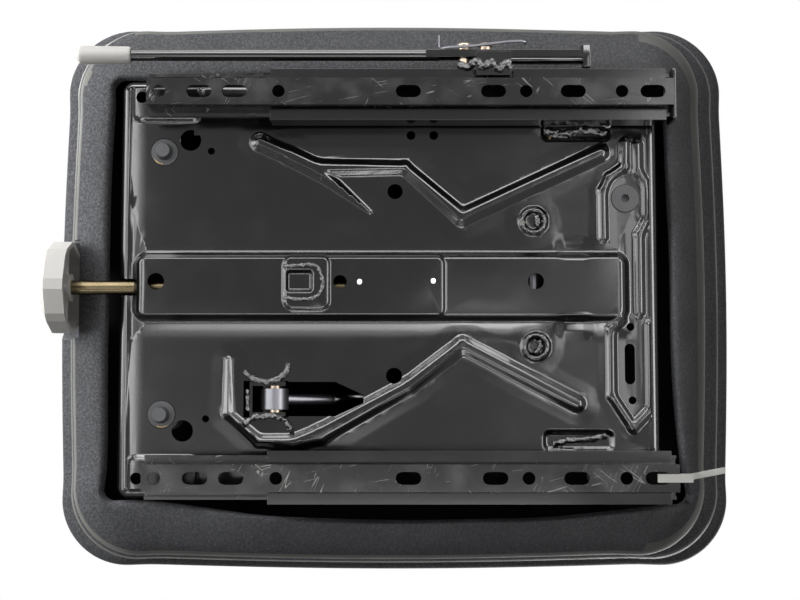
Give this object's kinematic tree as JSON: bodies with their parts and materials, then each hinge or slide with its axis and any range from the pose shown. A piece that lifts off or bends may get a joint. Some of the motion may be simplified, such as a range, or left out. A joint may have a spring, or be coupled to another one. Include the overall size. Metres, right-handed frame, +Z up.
{
  "type": "seat suspension",
  "caption": "Low-profile mechanical seat suspension on slide rails: stamped lower pan, scissor linkage in a bellows boot, damper, weight adjuster knob and release lever",
  "frame": {"origin": "centre of the bounding box in plan, on the floor plane under the rails", "axes": "+Z up as mounted in a cab, -Y towards the seat's front and the adjuster knob, +X towards the release lever"},
  "size_m": [0.434, 0.5338, 0.1319],
  "materials": {
    "black_paint": "gloss black paint",
    "dark_steel": "oiled dark steel",
    "yellow_zinc": "yellow zinc plate",
    "bare_steel": "bare steel",
    "pale_plastic": "moulded warm light grey",
    "rubber": "black rubber",
    "boot_vinyl": "dark grey grained moulding",
    "nylon": "natural nylon"
  },
  "bodies": {
    "floor_rails": {"lower_rail_left": "black_paint", "lower_rail_right": "black_paint", "rail_end_stop": "black_paint", "cable_tie": "nylon"},
    "ball_cage_left": {"ball_cage_left": "dark_steel"},
    "ball_cage_right": {"ball_cage_right": "dark_steel"},
    "carriage": {"upper_rail_left": "black_paint", "upper_rail_right": "black_paint", "lower_pan": "black_paint", "rail_bolt_front_left": "dark_steel", "rail_bolt_rear_left": "dark_steel", "rail_bolt_front_right": "dark_steel", "rail_bolt_rear_right": "dark_steel", "bumper_left": "rubber", "bumper_right": "rubber", "rear_plug": "rubber", "damper_bracket": "black_paint", "damper_lower_pin": "yellow_zinc", "thrust_bracket": "dark_steel", "lower_pivot_bracket_left": "black_paint", "lower_pivot_bracket_right": "black_paint", "rocker_bracket_left": "black_paint", "rocker_bracket_right": "black_paint", "lower_track_left": "dark_steel", "lower_track_right": "dark_steel", "rocker_pin": "yellow_zinc", "lever_pivot_rivet": "bare_steel", "lever_stop_rivet": "bare_steel"},
    "release_lever": {"release_lever": "black_paint", "lever_grip": "pale_plastic", "lever_spring": "dark_steel"},
    "upper_housing": {"upper_housing": "black_paint", "upper_pivot_bracket_left": "black_paint", "upper_pivot_bracket_right": "black_paint", "upper_track_left": "dark_steel", "upper_track_right": "dark_steel", "upper_pivot_shaft": "yellow_zinc", "damper_anchor": "black_paint", "push_pad": "black_paint", "boot": "boot_vinyl"},
    "outer_arms": {"outer_arm_left": "black_paint", "outer_arm_right": "black_paint", "rear_shaft": "yellow_zinc"},
    "inner_arms": {"inner_arm_left": "black_paint", "inner_arm_right": "black_paint"},
    "upper_roller_left": {"upper_roller_left": "nylon"},
    "upper_roller_right": {"upper_roller_right": "nylon"},
    "lower_roller_left": {"lower_roller_left": "nylon"},
    "lower_roller_right": {"lower_roller_right": "nylon"},
    "rocker": {"rocker": "dark_steel"},
    "rocker_roller": {"rocker_roller": "nylon"},
    "damper_rod": {"damper_rod": "dark_steel"},
    "damper_body": {"damper_body": "black_paint"},
    "adjuster": {"adjuster_shaft": "yellow_zinc", "knob": "pale_plastic"},
    "tension_bar": {"tension_bar": "black_paint", "spring_left": "dark_steel", "spring_right": "dark_steel"}
  },
  "joints": [
    {"name": "fore_aft", "type": "slide", "parent": "floor_rails", "child": "carriage", "axis": [0, 1, 0], "range_m": [-0.09, 0]},
    {"name": "cage_left_slide", "type": "slide", "parent": "floor_rails", "child": "ball_cage_left", "axis": [0, 1, 0], "range_m": [-0.0451, 0.0001]},
    {"name": "cage_right_slide", "type": "slide", "parent": "floor_rails", "child": "ball_cage_right", "axis": [0, 1, 0], "range_m": [-0.0451, 0.0001]},
    {"name": "lever_lift", "type": "hinge", "parent": "carriage", "child": "release_lever", "pos_m": [0.1751, 0.0531, 0.02], "axis": [-1, 0, 0], "range_deg": [0, 3.5], "stiffness_Nm_per_rad": 3, "springref_deg": -11.46},
    {"name": "suspension_travel", "type": "slide", "parent": "carriage", "child": "upper_housing", "axis": [0, 0, 1], "range_m": [-0.048, 0], "stiffness_N_per_m": 20000, "springref_m": 0.015, "deforming": ["boot"]},
    {"name": "outer_arm_pivot", "type": "hinge", "parent": "carriage", "child": "outer_arms", "pos_m": [0, -0.14, 0.0517], "axis": [1, 0, 0], "range_deg": [-10, 0.1]},
    {"name": "inner_arm_pivot", "type": "hinge", "parent": "upper_housing", "child": "inner_arms", "pos_m": [0, -0.14, 0.1177], "axis": [1, 0, 0], "range_deg": [-0.1, 10]},
    {"name": "upper_roller_left_spin", "type": "hinge", "parent": "outer_arms", "child": "upper_roller_left", "pos_m": [0.122, 0.1321, 0.1177], "axis": [1, 0, 0], "range_deg": [-1, 60]},
    {"name": "upper_roller_right_spin", "type": "hinge", "parent": "outer_arms", "child": "upper_roller_right", "pos_m": [-0.122, 0.1321, 0.1177], "axis": [1, 0, 0], "range_deg": [-1, 60]},
    {"name": "lower_roller_left_spin", "type": "hinge", "parent": "inner_arms", "child": "lower_roller_left", "pos_m": [0.097, 0.1321, 0.0517], "axis": [1, 0, 0], "range_deg": [-60, 1]},
    {"name": "lower_roller_right_spin", "type": "hinge", "parent": "inner_arms", "child": "lower_roller_right", "pos_m": [-0.097, 0.1321, 0.0517], "axis": [1, 0, 0], "range_deg": [-60, 1]},
    {"name": "rocker_pivot", "type": "hinge", "parent": "carriage", "child": "rocker", "pos_m": [0, 0.106, 0.048], "axis": [1, 0, 0], "range_deg": [-35, 0.1], "deforming": ["spring_left", "spring_right"]},
    {"name": "rocker_roller_spin", "type": "hinge", "parent": "rocker", "child": "rocker_roller", "pos_m": [0, 0.17546, 0.097], "axis": [1, 0, 0], "range_deg": [-1, 150]},
    {"name": "damper_rod_pivot", "type": "hinge", "parent": "carriage", "child": "damper_rod", "pos_m": [-0.085, -0.091, 0.047], "axis": [1, 0, 0], "range_deg": [-17.5, 0.1]},
    {"name": "damper_body_pivot", "type": "hinge", "parent": "upper_housing", "child": "damper_body", "pos_m": [-0.085, 0.055, 0.112], "axis": [1, 0, 0], "range_deg": [-17.5, 0.1]},
    {"name": "adjuster_turn", "type": "hinge", "parent": "carriage", "child": "adjuster", "pos_m": [0, 0, 0.042], "axis": [0, 1, 0], "range_deg": [0, 2880]},
    {"name": "tension_slide", "type": "slide", "parent": "carriage", "child": "tension_bar", "axis": [0, 1, 0], "range_m": [-0.0201, 0.0001], "deforming": ["spring_left", "spring_right"]}
  ],
  "couplings": [
    {"joint": "cage_left_slide", "follows": "fore_aft", "ratio": 0.5},
    {"joint": "cage_right_slide", "follows": "fore_aft", "ratio": 0.5},
    {"joint": "outer_arm_pivot", "follows": "suspension_travel", "rad_per_m": 3.6175},
    {"joint": "inner_arm_pivot", "follows": "suspension_travel", "rad_per_m": -3.6175},
    {"joint": "upper_roller_left_spin", "follows": "suspension_travel", "rad_per_m": -20.5},
    {"joint": "upper_roller_right_spin", "follows": "suspension_travel", "rad_per_m": -20.5},
    {"joint": "lower_roller_left_spin", "follows": "suspension_travel", "rad_per_m": 20.5},
    {"joint": "lower_roller_right_spin", "follows": "suspension_travel", "rad_per_m": 20.5},
    {"joint": "rocker_pivot", "follows": "suspension_travel", "rad_per_m": 12.55},
    {"joint": "rocker_roller_spin", "follows": "suspension_travel", "rad_per_m": -53},
    {"joint": "damper_rod_pivot", "follows": "suspension_travel", "rad_per_m": 6.312},
    {"joint": "damper_body_pivot", "follows": "suspension_travel", "rad_per_m": 6.312},
    {"joint": "tension_slide", "follows": "adjuster_turn", "m_per_rad": -0.00039789}
  ]
}
